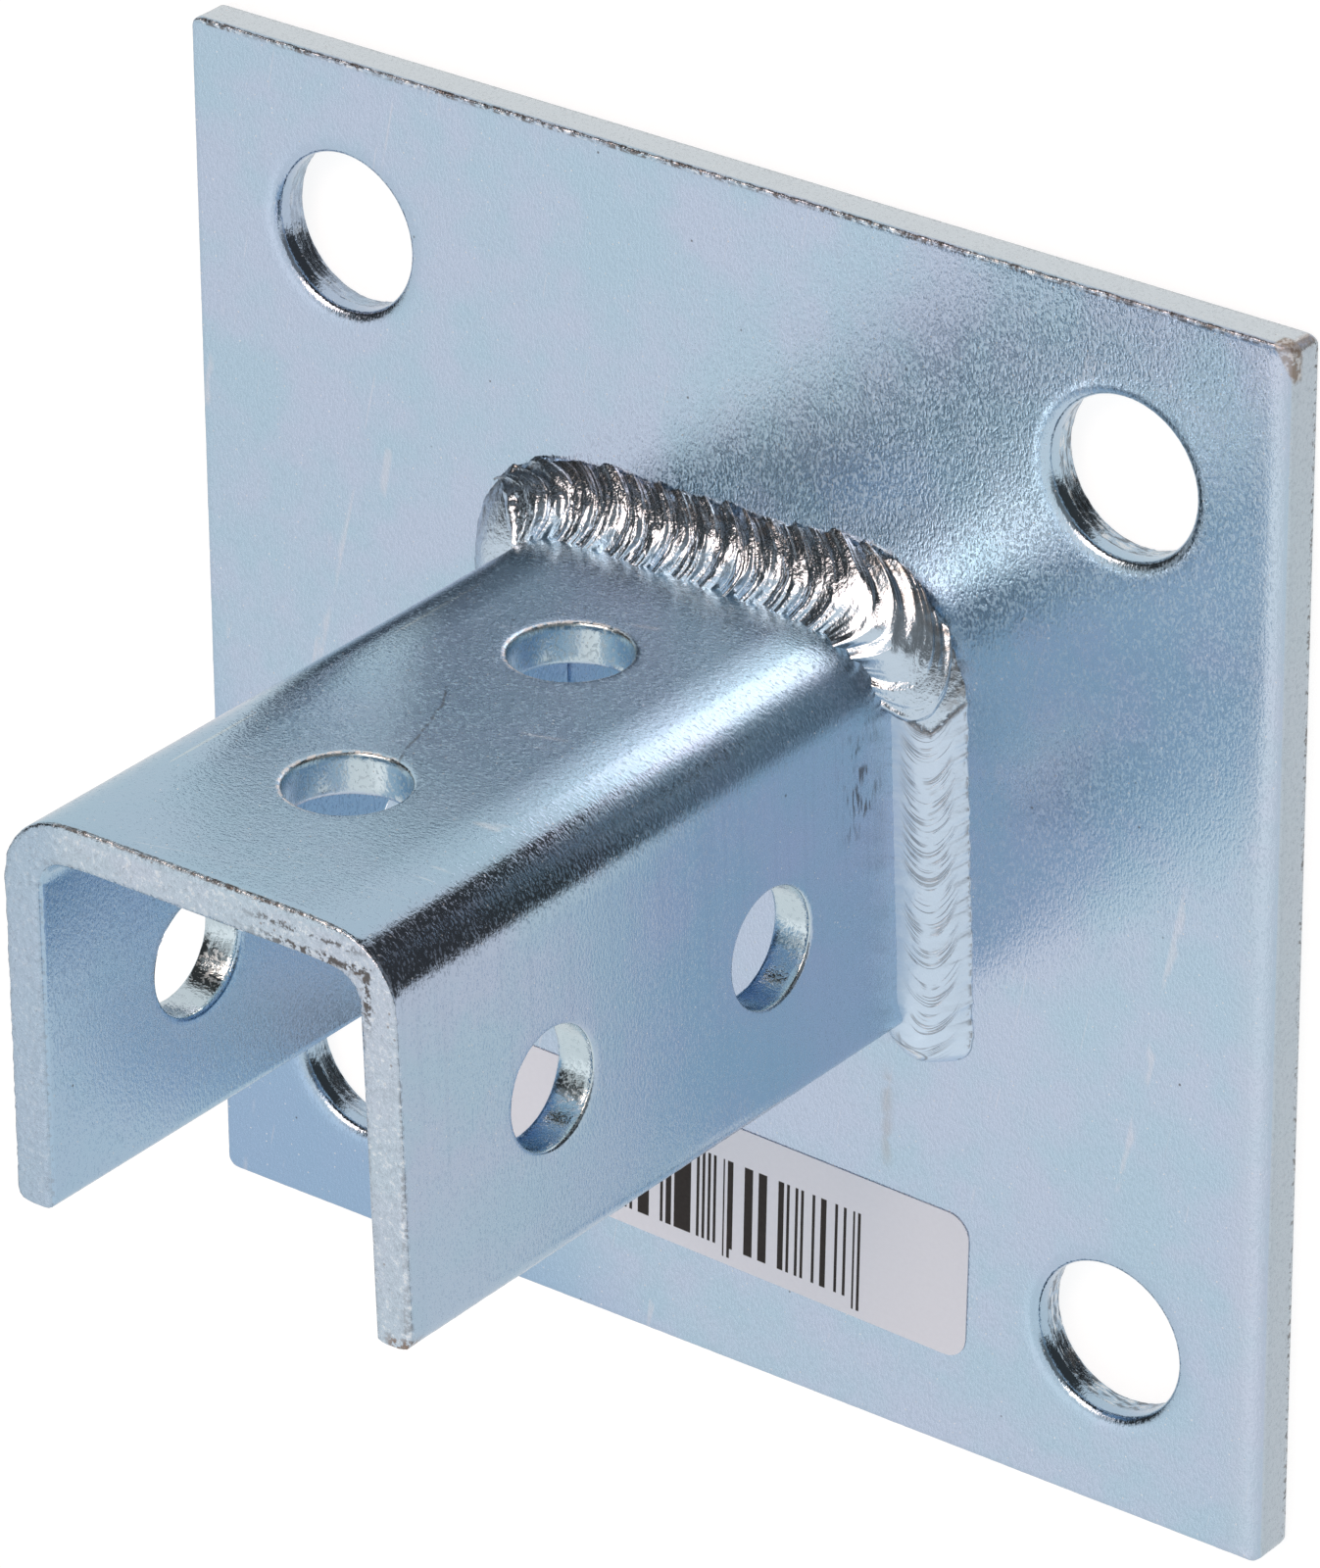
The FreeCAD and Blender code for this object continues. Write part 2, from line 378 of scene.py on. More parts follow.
class Outline:
    """A rectangle with rounded corners, as core points and outward directions, front side first."""

    def __init__(self, low, high, radius, breaks=()):
        self.low, self.high, self.radius = low, high, radius
        u0, u1 = low[0] + radius, high[0] - radius
        v0, v1 = low[1] + radius, high[1] - radius
        across = spaced([u0, *breaks, u1], EDGE_STEP)
        upward = spaced([v0, v1], EDGE_STEP)
        self.across = across
        self.samples = []
        self.side([(u, v0) for u in across], -90)
        self.side([(u1, v) for v in upward], 0)
        self.back_start = len(self.samples)
        self.side([(u, v1) for u in reversed(across)], 90)
        self.side([(u0, v) for v in reversed(upward)], 180)

    def facing(self, number):
        """Number of the back sample that faces a front sample."""
        return self.back_start + len(self.across) - 1 - number

    def nearest(self, u):
        """Number of the front sample at a place."""
        return min(range(len(self.across)), key=lambda i: abs(self.across[i] - u))

    def side(self, cores, heading):
        out = (math.cos(math.radians(heading)), math.sin(math.radians(heading)))
        self.samples += [(core, out) for core in cores]
        for i in range(1, CORNER_STEPS):
            turn = math.radians(heading + 90 * i / CORNER_STEPS)
            self.samples.append((cores[-1], (math.cos(turn), math.sin(turn))))

    def row(self, sides, number):
        """Places of one row of the profiles that front, right, back and left have."""
        front, right, back, left = [profile[number] for profile in sides]
        places = []
        for core, out in self.samples:
            across, upward = (right if out[0] > 0 else left), (back if out[1] > 0 else front)
            u = core[0] + out[0] * max(self.radius - across[0], 0)
            v = core[1] + out[1] * max(self.radius - upward[0], 0)
            u = min(max(u, self.low[0] + left[0]), self.high[0] - right[0])
            v = min(max(v, self.low[1] + front[0]), self.high[1] - back[0])
            share = out[0] ** 2
            depth = across[1] * share + upward[1] * (1 - share)
            rough = across[2] * share + upward[2] * (1 - share)
            coarse, fine = [ragged((u, v, 0), size, number) for size in EDGE_RAGGED]
            jog = rough * coarse + rough * FINE_SHARE * fine
            places.append((u + out[0] * jog * SIDE_SHARE, v + out[1] * jog * SIDE_SHARE, depth - jog))
        return places


# Edge profiles from the outer face to the inner one: (distance in from the edge, depth, raggedness)
PLAIN_EDGE = [(4.0, 0, 0), (1.6, 0, 0), (0.8, 0, 0), (0.45, 0, 0), (0.28, 0.03, 0.01), (0.12, 0.12, 0.02),
              (0, 0.35, 0.03), (0, 1.2, 0.02), (0.03, 2.4, 0.03), (0, 3.9, 0.04), (0, 4.85, 0.03),
              (0.12, 5.18, 0.02), (0.4, 5.3, 0), (0.8, 5.3, 0)]
BURR_EDGE = [(4.0, 0, 0), (1.6, 0, 0), (1.0, 0, 0), (0.68, -0.01, 0.02), (0.48, -0.09, 0.11),
             (0.26, -0.1, 0.16), (0.04, 0.12, 0.14), (0, 0.5, 0.05), (0.05, 1.6, 0.03), (0.02, 3.4, 0.04),
             (0.03, 4.5, 0.06), (0.3, 5.0, 0.04), (0.9, 5.3, 0), (1.6, 5.3, 0)]
ROLLED_EDGE = [(5.0, 0, 0), (3.4, 0, 0), (2.5, 0.02, 0), (1.8, 0.09, 0.005), (1.2, 0.2, 0.01),
               (0.65, 0.34, 0.02), (0.2, 0.5, 0.03), (0, 0.75, 0.04), (0, 1.6, 0.03), (0, 3.0, 0.04),
               (0.02, 4.6, 0.05), (0.05, 5.15, 0.05), (0.2, 5.3, 0), (0.8, 5.3, 0)]
END_EDGE = [(3.0, 0, 0), (1.2, 0, 0), (0.5, 0, 0.03), (0.15, 0.1, 0.09), (0, 0.4, 0.06), (0, 0.85, 0.03),
            (0, 1.5, 0.03), (0, 2.2, 0.04), (0, 3.0, 0.04), (0, 3.7, 0.03), (0, 4.35, 0.03),
            (0.1, 4.9, 0.03), (0.45, 5.22, 0.015), (0.95, 5.3, 0)]
TIP_EDGE = [(3.4, 0, 0), (2.7, 0, 0), (2.1, 0.01, 0), (1.45, 0.13, 0.01), (0.9, 0.4, 0.02),
            (0.45, 0.85, 0.03), (0.12, 1.5, 0.03), (0, 2.2, 0.02), (0, 3.0, 0.03), (0, 3.7, 0.03),
            (0.14, 4.35, 0.02), (0.5, 4.9, 0.01), (1.0, 5.22, 0), (1.6, 5.3, 0)]

# Walls of the punched holes, from the punch's side: (growth of the radius, depth, raggedness)
BOLT_WALL = [(1.5, 0, 0), (0.7, 0, 0), (0.42, 0.02, 0.01), (0.22, 0.08, 0.02), (0.08, 0.2, 0.02),
             (0, 0.42, 0.02), (0, 1.2, 0.01), (0, 2.2, 0.01), (0.02, 3.2, 0.02), (0.05, 4.1, 0.03),
             (0.1, 4.8, 0.04), (0.25, 5.2, 0.03), (0.6, 5.3, 0), (1.5, 5.3, 0)]
ANCHOR_WALL = [(2.4, 0, 0), (1.7, 0.01, 0), (1.15, 0.07, 0), (0.7, 0.19, 0.01), (0.34, 0.4, 0.01),
               (0.1, 0.72, 0.01), (0, 1.1, 0), (0, 1.7, 0), (0, 2.25, 0.02), (0.03, 2.4, 0.07),
               (0.16, 2.52, 0.07), (0.2, 2.9, 0.06), (0.27, 3.7, 0.07), (0.33, 4.5, 0.07),
               (0.4, 5.05, 0.06), (0.6, 5.28, 0.03), (0.9, 5.3, 0), (1.5, 5.3, 0)]


class SheetMesh:
    """Mesh of a sheet with holes. A place is (u, v) in the flat sheet and a depth below its outer face."""

    def __init__(self, place):
        self.place = place
        self.flat = []
        self.points = []
        self.faces = []

    def add(self, u, v, depth):
        self.flat.append((u, v))
        self.points.append(self.place(u, v, depth))
        return len(self.points) - 1

    def skirt(self, rows):
        """Quads between rows of places that each go once round. Returns the first and last row's points."""
        loops = [[self.add(*place) for place in row] for row in rows]
        for upper, lower in zip(loops, loops[1:]):
            for i in range(len(upper)):
                j = (i + 1) % len(upper)
                self.faces.append((upper[i], upper[j], lower[j], lower[i]))
        return loops[0], loops[-1]

    def hole(self, centre, diameter, wall):
        count = round(math.pi * diameter / HOLE_STEP)
        rows = []
        for number, (growth, depth, rough) in enumerate(wall):
            row = []
            for i in range(count):
                turn = 2 * math.pi * i / count
                u, v = math.cos(turn), math.sin(turn)
                spot = (centre[0] + u * diameter / 2, centre[1] + v * diameter / 2, depth * WALL_DEPTH)
                coarse, fine = ragged(spot, WALL_RAGGED[0], number), ragged(spot, WALL_RAGGED[1], WALL_SEED)
                jog = rough * (coarse + fine)
                radius = diameter / 2 + growth + jog
                row.append((centre[0] + u * radius, centre[1] + v * radius, depth))
            rows.append(row)
        return self.skirt(rows)

    def fill(self, border, loops):
        """Triangles between a border and the loops of points round its holes."""
        used = list(border)
        owners = [None] * len(border)
        edges = [(i, (i + 1) % len(border)) for i in range(len(border))]
        for number, loop in enumerate(loops):
            start = len(used)
            used += loop
            owners += [number] * len(loop)
            edges += [(start + i, start + (i + 1) % len(loop)) for i in range(len(loop))]
        spots = [Vector(self.flat[i]) for i in used]
        result = geometry.delaunay_2d_cdt(spots, edges, [], 0, FILL_MERGE)
        triangles, sources = result[2], result[3]
        for triangle in triangles:
            corners = [sources[i][0] for i in triangle]
            owner = owners[corners[0]]
            in_hole = owner is not None and all(owners[i] == owner for i in corners)
            if not in_hole:
                self.faces.append([used[i] for i in corners])

    def finish(self, name, material):
        shape = bmesh.new()
        points = [shape.verts.new(point * MM) for point in self.points]
        for face in self.faces:
            shape.faces.new([points[i] for i in face])
        bmesh.ops.remove_doubles(shape, verts=shape.verts, dist=MERGE * MM)
        bmesh.ops.dissolve_degenerate(shape, edges=shape.edges, dist=MERGE * MM)
        bmesh.ops.recalc_face_normals(shape, faces=shape.faces)
        for face in shape.faces:
            face.smooth = True
        mesh = bpy.data.meshes.new(name)
        shape.to_mesh(mesh)
        shape.free()
        mesh.materials.append(material)
        return link(name, mesh)


def base_plate(material):
    sheet = SheetMesh(lambda u, v, depth: Vector((u, v, PLATE_TOP - depth)))
    outline = Outline(plate_low[:2], plate_high[:2], PLATE_CORNER)
    sides = [PLAIN_EDGE, ROLLED_EDGE, BURR_EDGE, PLAIN_EDGE]
    top, under = sheet.skirt([outline.row(sides, i) for i in range(len(PLAIN_EDGE))])
    centres = [(x, y) for x in (-ANCHOR_X, ANCHOR_X) for y in (-ANCHOR_Y, ANCHOR_Y)]
    holes = [sheet.hole(centre, ANCHOR_HOLE, ANCHOR_WALL) for centre in centres]
    sheet.fill(top, [upper for upper, lower in holes])
    sheet.fill(under, [lower for upper, lower in holes])
    made = sheet.finish("dressed_base_plate", material)
    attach(made, "root")
    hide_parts("base_plate")


class Half:
    """Half of the channel's outline, by the distance along its outer face from the middle of the web.

    The flat web goes over into the bend by a lead, a short stretch with a larger radius."""

    def __init__(self, side, splay):
        self.side, self.splay = side, splay
        slack = LEAD_RADIUS - BEND_RADIUS
        self.bend_x = -LEFT_X - BEND_RADIUS
        self.bend_y = WEB_Y - LEAD_RADIUS + slack * math.cos(LEAD)
        self.web_end = self.bend_x - slack * math.sin(LEAD)
        self.lead_end = self.web_end + LEAD_RADIUS * LEAD
        self.bend_end = self.bend_at(math.pi / 2 - splay)
        self.flange_y = self.bend_y + BEND_RADIUS * math.sin(splay)
        self.end = self.flange_at(FLANGE_TIP_Y)

    def bend_at(self, turn):
        """Distance along the outline at which the bend faces a turn away from the web."""
        return self.lead_end + BEND_RADIUS * (turn - LEAD)

    def flange_at(self, y):
        """Distance along the outline at which the flange's outer face reaches a y."""
        return self.bend_end + (self.flange_y - y) / math.cos(self.splay)

    def at(self, distance):
        """Point of the outer face and its outward direction."""
        if distance <= self.lead_end:
            turn = max(distance - self.web_end, 0) / LEAD_RADIUS
            radius, centre = LEAD_RADIUS, Vector((min(distance, self.web_end), WEB_Y - LEAD_RADIUS))
        else:
            turn = min(LEAD + (distance - self.lead_end) / BEND_RADIUS, math.pi / 2 - self.splay)
            radius, centre = BEND_RADIUS, Vector((self.bend_x, self.bend_y))
        out = Vector((math.sin(turn), math.cos(turn)))
        past = max(distance - self.bend_end, 0)
        point = centre + out * radius + Vector((out.y, -out.x)) * past
        return Vector((point.x * self.side, point.y)), Vector((out.x * self.side, out.y))


RIGHT_HALF = Half(1, RIGHT_SPLAY)
LEFT_HALF = Half(-1, LEFT_SPLAY)


def skin(distance):
    """Point and outward direction of the channel's outer face. The right half has positive distances."""
    return RIGHT_HALF.at(distance) if distance >= 0 else LEFT_HALF.at(-distance)


def channel_place(u, v, depth):
    point, out = skin(u)
    return Vector((point.x - out.x * depth, point.y - out.y * depth, v))


BEND_ROWS = 12
FOLDS = [-LEFT_HALF.bend_end, -LEFT_HALF.web_end, RIGHT_HALF.web_end, RIGHT_HALF.bend_end]


def channel_skin(sheet, outline, loop, holes, depth):
    """One skin of the channel: web and flanges as fills round their holes, the bends as columns of quads."""
    a, b, c, d = [outline.nearest(fold) for fold in FOLDS]
    columns = {}
    for number in [*range(a, b + 1), *range(c, d + 1)]:
        foot, head = loop[number], loop[outline.facing(number)]
        low, high = sheet.flat[foot][1], sheet.flat[head][1]
        levels = spaced([low, high], (high - low) / BEND_ROWS)[1:-1]
        columns[number] = [sheet.add(outline.across[number], level, depth) for level in levels]
        ends = [foot, *columns[number], head]
        if number - 1 in columns:
            sheet.faces += zip(before, before[1:], ends[1:], ends)
        before = ends
    back = outline.facing
    right = loop[d:back(d) + 1] + columns[d][::-1]
    left = loop[back(a):] + loop[:a + 1] + columns[a]
    web = loop[b:c + 1] + columns[c] + loop[back(c):back(b) + 1] + columns[b][::-1]
    sheet.fill(left, [hole for u, hole in holes if u < FOLDS[0]])
    sheet.fill(right, [hole for u, hole in holes if u > FOLDS[3]])
    sheet.fill(web, [hole for u, hole in holes if u == 0])


def post_channel(material):
    sheet = SheetMesh(channel_place)
    low = (-LEFT_HALF.end, PLATE_TOP)
    high = (RIGHT_HALF.end, CHANNEL_TOP)
    outline = Outline(low, high, SHEET_CORNER, FOLDS)
    sides = [PLAIN_EDGE, TIP_EDGE, END_EDGE, TIP_EDGE]
    outer, inner = sheet.skirt([outline.row(sides, i) for i in range(len(PLAIN_EDGE))])
    places = (-LEFT_HALF.flange_at(0), 0.0, RIGHT_HALF.flange_at(0))
    centres = [(u, BOLT_MIDDLE + rise) for rise in (-BOLT_REACH, BOLT_REACH) for u in places]
    holes = [(centre[0], sheet.hole(centre, BOLT_HOLE, BOLT_WALL)) for centre in centres]
    channel_skin(sheet, outline, outer, [(u, pair[0]) for u, pair in holes], 0.0)
    channel_skin(sheet, outline, inner, [(u, pair[1]) for u, pair in holes], SHEET)
    made = sheet.finish("dressed_post_channel", material)
    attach(made, "root")
    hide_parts("post_channel")


# Weld beads

class Shape(Tree):
    """A geometry tree with named inputs."""

    def __init__(self, name):
        super().__init__(bpy.data.node_groups.new(name, "GeometryNodeTree"))
        self.sockets = self.node_tree.interface
        self.entry = self.nodes.new("NodeGroupInput")
        self.start = self.input("Geometry", "Geometry")
        self.sockets.new_socket("Geometry", in_out="OUTPUT", socket_type="NodeSocketGeometry")

    def input(self, name, kind="Float"):
        self.sockets.new_socket(name, in_out="INPUT", socket_type="NodeSocket" + kind)
        return Wire(self, self.entry.outputs[name])

    def end(self, geometry_wire):
        self.node("NodeGroupOutput", None, {"Geometry": geometry_wire})

    def grow(self, piece, values):
        """The plain mesh that the tree makes of a piece with these input values."""
        modifier = piece.modifiers.new("grow", "NODES")
        modifier.node_group = self.node_tree
        for socket in self.sockets.items_tree:
            if socket.in_out == "INPUT" and socket.name in values:
                modifier[socket.identifier] = values[socket.name]
        bpy.context.view_layer.update()
        graph = bpy.context.evaluated_depsgraph_get()
        mesh = bpy.data.meshes.new_from_object(piece.evaluated_get(graph))
        bpy.data.objects.remove(piece)
        return mesh


# Share of the points round a bead that lie on its open face, how far its foot is sunk in the plate,
# and the share of the way up its face at which the rows reach farthest forward
BEAD_FACE = 0.74
BEAD_FOOT = 0.12
ROW_FRONT = 0.6
# How far the ripples wander, the share of a ripple before its crest, and the sizes of lumps
RIPPLE_DRIFT = 1.4
FINE_DRIFT = 5.0
RIPPLE_CREST = 0.72
LUMP_SIZE = 2.4
CRUMB_SIZE = 0.8


def bead_shape():
    """A bead along a path at the foot of the channel. Its rows bend forward as the ripples do."""
    shape = Shape("weld_bead")
    given = shape.input
    rows, columns = given("Rows", "Int"), given("Columns", "Int")
    plate_leg, side_leg = given("Plate leg"), given("Side leg")
    crown, sink, lag = given("Crown"), given("Sink"), given("Lag")
    pitch, ripple_height = given("Ripple pitch"), given("Ripple height")
    fine_pitch, fine_height = given("Fine pitch"), given("Fine height")
    lump_height, toe_waver = given("Lump height"), given("Toe waver")
    scallop_depth, swell = given("Scallop depth"), given("Swell")
    start_taper, end_taper = given("Start taper"), given("End taper")
    start_swell, start_reach = given("Start swell"), given("Start reach")
    swell_place, swell_reach = given("Swell place"), given("Swell reach")
    end_spread, spread_reach = given("End spread"), given("Spread reach")
    run_up, hand, flow = given("Run up"), given("Hand"), given("Flow")
    seed, material = given("Seed"), given("Material", "Material")

    path = shape.node("GeometryNodeMeshToCurve", None, {"Mesh": shape.start})
    length = shape.node("GeometryNodeCurveLength", None, {"Curve": path}) - run_up
    grid_inputs = {"Size X": 1.0, "Size Y": 1.0, "Vertices X": rows, "Vertices Y": columns}
    grid = shape.node("GeometryNodeMeshGrid", None, grid_inputs)
    x, y, _ = shape.parts(shape.node("GeometryNodeInputPosition"))
    along = (x + 0.5) * length
    around = y + 0.5
    across = around.over(0.0, BEAD_FACE)
    root = around.over(BEAD_FACE, 1.0)
    on_root = around.math("GREATER_THAN", around, BEAD_FACE)
    bulge = (across * math.pi).sine()

    from_start = 1 - (along / start_taper).smallest(1.0)
    from_end = 1 - ((length - along) / end_taper).smallest(1.0)
    blob = along.bell(swell_place, swell_reach)
    dome = along.bell(start_reach * 0.6, start_reach)
    spread = (length - along).rise(spread_reach, spread_reach * 0.3) * end_spread
    taper = ((1 - from_start * from_start) * (1 - from_end * from_end)) ** 0.5
    size = taper * (1 + swell * blob + start_swell * dome)
    drift = shape.noise(shape.join(along, across * 4.0, seed), 4.0) - 0.5
    wave = (along / pitch + drift * RIPPLE_DRIFT).fraction()
    vigour = shape.noise(shape.join(along, across * 5.0, seed + 9.0), 2.2).rise(0.3, 0.65)
    calm = 1 - 0.94 * blob.rise(0.0, 0.6)
    upper = across.rise(0.1, 0.6)
    crest = wave.rise(0.0, RIPPLE_CREST) - wave.rise(RIPPLE_CREST + 0.02, 1.0) - 0.5
    ripple = crest * ripple_height * (0.3 + vigour) * (0.4 + 0.6 * upper)
    fine = ((along / fine_pitch + drift * FINE_DRIFT) * (2 * math.pi)).sine() * fine_height * (1.3 - vigour)
    middle = across - ROW_FRONT
    reach = lag * (1 - spread) * along.rise(0.0, start_reach)
    behind_front = reach * 4 * middle * middle
    at_side, at_plate = 4 * (1 - ROW_FRONT) ** 2, 4 * ROW_FRONT ** 2
    behind_toes = reach * (at_side + root * (at_plate - at_side))
    spot = shape.join(along - behind_front * (1 - flow), across * 9.0, seed)
    lumps = (shape.noise(spot, LUMP_SIZE, 3.0, 0.55) - 0.5) * lump_height
    lumps = lumps * (1 - 0.5 * blob) * (1 + 3 * start_swell * dome)
    crumbs = (shape.noise(spot, CRUMB_SIZE, 2.0) - 0.5) * lump_height
    crumbs = crumbs * (1 - upper + dome * start_swell * 6) * calm
    toe_drift = shape.noise(shape.join(along, 2.0, seed), 4.0) - 0.5
    toe_wave = (along / pitch + toe_drift * RIPPLE_DRIFT).fraction()
    scallop = (abs(toe_wave - 0.5) - 0.25) * scallop_depth
    toe = 1 + (shape.noise(shape.join(along, seed, 4.0), 1.6, 2.0) - 0.5) * toe_waver + scallop
    plate = plate_leg * size * toe
    side = side_leg * size * (2 - toe) * (1 - 0.9 * spread)
    behind = (sink + spread * SHEET * 0.85) * size
    slant = far(plate, side) + 0.001
    waves = (ripple + fine) * calm * bulge ** 0.5
    rise = ((crown + 2.0 * spread) * bulge + waves + (lumps + crumbs * 0.4) * bulge ** 0.6) * size
    foot = BEAD_FOOT * size
    out_face = plate * (1 - across) - behind * across + rise * side / slant
    up_face = side * across - foot * (1 - across) + rise * plate / slant
    out_root = (plate + behind) * root.over(0.5, 1.0) - behind
    up_root = side * root.over(0.5, 0.0) - foot * root.over(0.0, 0.5)
    out = out_face + (out_root - out_face) * on_root
    up = up_face + (up_root - up_face) * on_root

    spot_on_path = along + run_up - size * (behind_front + (behind_toes - behind_front) * on_root)
    sampled = {"Curves": path, "Length": spot_on_path}
    centre = shape.node("GeometryNodeSampleCurve", {"mode": "LENGTH"}, sampled, "Position")
    heading = shape.other(centre, "Tangent")
    outward = shape.scaled(shape.vector("CROSS_PRODUCT", (0.0, 0.0, 1.0), heading), hand)
    spot = shape.vector("ADD", centre, shape.scaled(outward, out))
    spot = shape.scaled(shape.vector("ADD", spot, shape.join(0.0, 0.0, up)), MM)

    for name, value in (("along", along), ("across", across)):
        stored = {"Geometry": grid, "Name": name, "Value": value}
        grid = shape.node("GeometryNodeStoreNamedAttribute", None, stored)
    bead = shape.node("GeometryNodeSetPosition", None, {"Geometry": grid, "Position": spot})
    bead = shape.node("GeometryNodeMergeByDistance", None, {"Geometry": bead, "Distance": MERGE * MM})
    bead = shape.node("GeometryNodeSetShadeSmooth", None, {"Geometry": bead})
    bead = shape.node("GeometryNodeRealizeInstances", None, {"Geometry": bead})
    shape.end(shape.node("GeometryNodeSetMaterial", None, {"Geometry": bead, "Material": material}))
    return shape


WEB_BEAD = {"Plate leg": 7.4, "Side leg": 6.3, "Crown": 1.1, "Sink": 0.8, "Lag": 3.2, "Ripple pitch": 3.2,
            "Ripple height": 0.45, "Fine pitch": 0.75, "Fine height": 0.045, "Lump height": 0.9,
            "Toe waver": 0.25, "Scallop depth": 0.25, "Start taper": 3.0, "End taper": 2.0,
            "Start swell": 0.16, "Start reach": 6.0, "Swell reach": 12.0, "Swell": 0.2, "End spread": 0.0,
            "Spread reach": 5.0, "Run up": 6.0, "Hand": 1.0, "Flow": 1.0, "Seed": 3.0}
RIGHT_BEAD = {"Plate leg": 7.2, "Side leg": 4.9, "Crown": 1.3, "Sink": 0.8, "Lag": 1.0, "Ripple pitch": 3.0,
              "Ripple height": 0.006, "Fine pitch": 0.9, "Fine height": 0.002, "Lump height": 0.35,
              "Toe waver": 0.12, "Scallop depth": 0.02, "Start taper": 3.0, "End taper": 4.0,
              "Start swell": 0.0, "Start reach": 4.0, "Swell place": 0.0, "Swell reach": 4.0, "Swell": 0.0,
              "End spread": 1.0, "Spread reach": 9.0, "Run up": 3.0, "Hand": 1.0, "Flow": 0.0, "Seed": 7.0}
LEFT_BEAD = {**RIGHT_BEAD, "Plate leg": 8.4, "Hand": -1.0, "Seed": 12.0}
BEAD_ROW = 0.1
BEAD_COLUMNS = 48
PATH_STEP = 0.25
# Where the beads join, where the web's bead swells, and how far each bead runs past the joints and tips
LEFT_JOINT = LEFT_HALF.bend_at(math.radians(50))
RIGHT_JOINT = RIGHT_HALF.bend_end
SWELL_PLACE = RIGHT_HALF.bend_at(math.radians(32))
WEB_PAST_LEFT = 1.0
WEB_PAST_RIGHT = 1.5
LEFT_OVERLAP = 3.0
RIGHT_OVERLAP = 6.0
PAST_TIP = 5.0


def weld_bead(shape, node, first, last, values, material):
    """A bead between two distances along the channel's outline."""
    way = 1 if last > first else -1
    path = bpy.data.meshes.new("path")
    distances = spaced([first - way * values["Run up"], last], PATH_STEP)
    points = [(*skin(distance)[0], PLATE_TOP) for distance in distances]
    path.from_pydata(points, [(i, i + 1) for i in range(len(points) - 1)], [])
    rows = round(abs(last - first) / BEAD_ROW)
    values = {**values, "Rows": rows, "Columns": BEAD_COLUMNS, "Material": material}
    mesh = shape.grow(link("path", path), values)
    solid = bmesh.new()
    solid.from_mesh(mesh)
    bmesh.ops.recalc_face_normals(solid, faces=solid.faces)
    if solid.calc_volume(signed=True) < 0:
        bmesh.ops.reverse_faces(solid, faces=solid.faces)
    solid.to_mesh(mesh)
    solid.free()
    made = link("dressed_" + node, mesh)
    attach(made, "root")
    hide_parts(node)


def weld_beads(material):
    shape = bead_shape()
    web_start, web_end = -LEFT_JOINT - WEB_PAST_LEFT, RIGHT_JOINT + WEB_PAST_RIGHT
    web_values = {**WEB_BEAD, "Swell place": SWELL_PLACE - web_start}
    weld_bead(shape, "weld_bead_web", web_start, web_end, web_values, material)
    right_start, right_end = RIGHT_JOINT - RIGHT_OVERLAP, RIGHT_HALF.end + PAST_TIP
    weld_bead(shape, "weld_bead_right", right_start, right_end, RIGHT_BEAD, material)
    left_start, left_end = -LEFT_JOINT + LEFT_OVERLAP, -LEFT_HALF.end - PAST_TIP
    weld_bead(shape, "weld_bead_left", left_start, left_end, LEFT_BEAD, material)


# Finishes

# Colours of the zinc, of the marks on it and of painted glints and highlights
TEAL_ZINC = colour(0.46, 0.605, 0.73)
LAVENDER_ZINC = colour(0.515, 0.60, 0.745)
PALE_SPECK_AND_HIGHLIGHT = colour(0.85, 0.88, 0.9)
DARK_SPECK = colour(0.09, 0.075, 0.065)
BURR_CRUMB = colour(0.13, 0.105, 0.09)
# Sizes of the clouds, grains and crumbs in the plating
CLOUD_SIZE = 14
GRAIN_SIZE = 0.3
CRUMBLE_SIZE = 0.7


